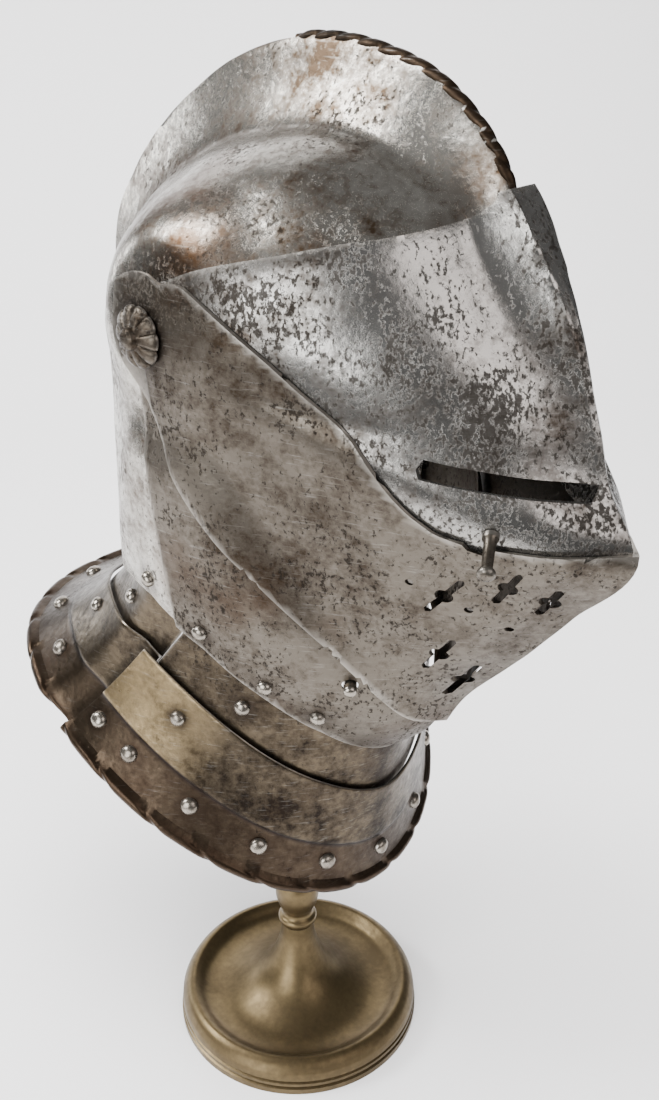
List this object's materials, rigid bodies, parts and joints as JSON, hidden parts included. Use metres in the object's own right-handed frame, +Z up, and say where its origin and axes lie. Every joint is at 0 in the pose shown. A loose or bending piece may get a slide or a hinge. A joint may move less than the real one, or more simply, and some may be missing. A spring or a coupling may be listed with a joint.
{
  "type": "close helmet on a stand",
  "caption": "Close helmet with a high comb, pointed visor and bevors that turn on side pivots, flared gorget plates with a roped edge, on a turned brass stand.",
  "frame": {"origin": "centre of the stand foot's underside", "axes": "+X the helmet's forward, +Y the wearer's left, +Z up"},
  "size_m": [0.3319, 0.2054, 0.5151],
  "materials": {
    "steel": "aged bare steel, hammered and pitted",
    "dull_steel": "aged bare steel, dull brown patina",
    "rivet_steel": "worn domed rivet heads",
    "brass": "olive-brown patinated turned brass"
  },
  "bodies": {
    "skull": {"skull": "steel", "gorget_rear_upper": "steel", "gorget_rear_lower": "steel", "stand_foot": "brass", "stand_stem": "brass", "stand_rest": "brass", "pivot_bolt_right": "dull_steel", "pivot_bolt_left": "dull_steel", "rivet_skull_right": "rivet_steel", "rivet_skull_left": "rivet_steel", "rivet_rear_collar_right": "rivet_steel", "rivet_rear_collar_left": "rivet_steel", "rivet_rear_lame_right": "rivet_steel", "rivet_rear_lame_left": "rivet_steel", "rivet_border_f_right": "rivet_steel", "rivet_border_f_left": "rivet_steel", "rivet_border_g_right": "rivet_steel", "rivet_border_g_left": "rivet_steel", "rivet_border_h_right": "rivet_steel", "rivet_border_h_left": "rivet_steel"},
    "lower_bevor": {"lower_bevor": "dull_steel", "gorget_front_upper": "steel", "gorget_front_lower": "steel", "rivet_bevor_1_right": "rivet_steel", "rivet_bevor_1_left": "rivet_steel", "rivet_bevor_2_right": "rivet_steel", "rivet_bevor_2_left": "rivet_steel", "rivet_bevor_3_right": "rivet_steel", "rivet_bevor_3_left": "rivet_steel", "rivet_front_lame_right": "rivet_steel", "rivet_front_lame_left": "rivet_steel", "rivet_front_collar_right": "rivet_steel", "rivet_front_collar_left": "rivet_steel", "rivet_border_a_right": "rivet_steel", "rivet_border_a_left": "rivet_steel", "rivet_border_b_right": "rivet_steel", "rivet_border_b_left": "rivet_steel", "rivet_border_c_right": "rivet_steel", "rivet_border_c_left": "rivet_steel", "rivet_border_d_right": "rivet_steel", "rivet_border_d_left": "rivet_steel", "rivet_border_e_right": "rivet_steel", "rivet_border_e_left": "rivet_steel", "rivet_border_front": "rivet_steel"},
    "upper_bevor": {"upper_bevor": "dull_steel"},
    "visor": {"visor": "steel", "visor_peg": "dull_steel"},
    "lock_stud": {"lock_stud": "rivet_steel"}
  },
  "joints": [
    {"name": "lower_bevor_pivot", "type": "hinge", "parent": "skull", "child": "lower_bevor", "pos_m": [0.011, 0, 0.414], "axis": [0, -1, 0], "range_deg": [0, 25]},
    {"name": "upper_bevor_pivot", "type": "hinge", "parent": "lower_bevor", "child": "upper_bevor", "pos_m": [0.011, 0, 0.414], "axis": [0, -1, 0], "range_deg": [0, 25]},
    {"name": "visor_pivot", "type": "hinge", "parent": "upper_bevor", "child": "visor", "pos_m": [0.011, 0, 0.414], "axis": [0, -1, 0], "range_deg": [0, 40]},
    {"name": "lock_stud_press", "type": "slide", "parent": "lower_bevor", "child": "lock_stud", "axis": [-0.6578, 0.7232, 0.2106], "range_m": [0, 0.003], "stiffness_N_per_m": 500}
  ]
}
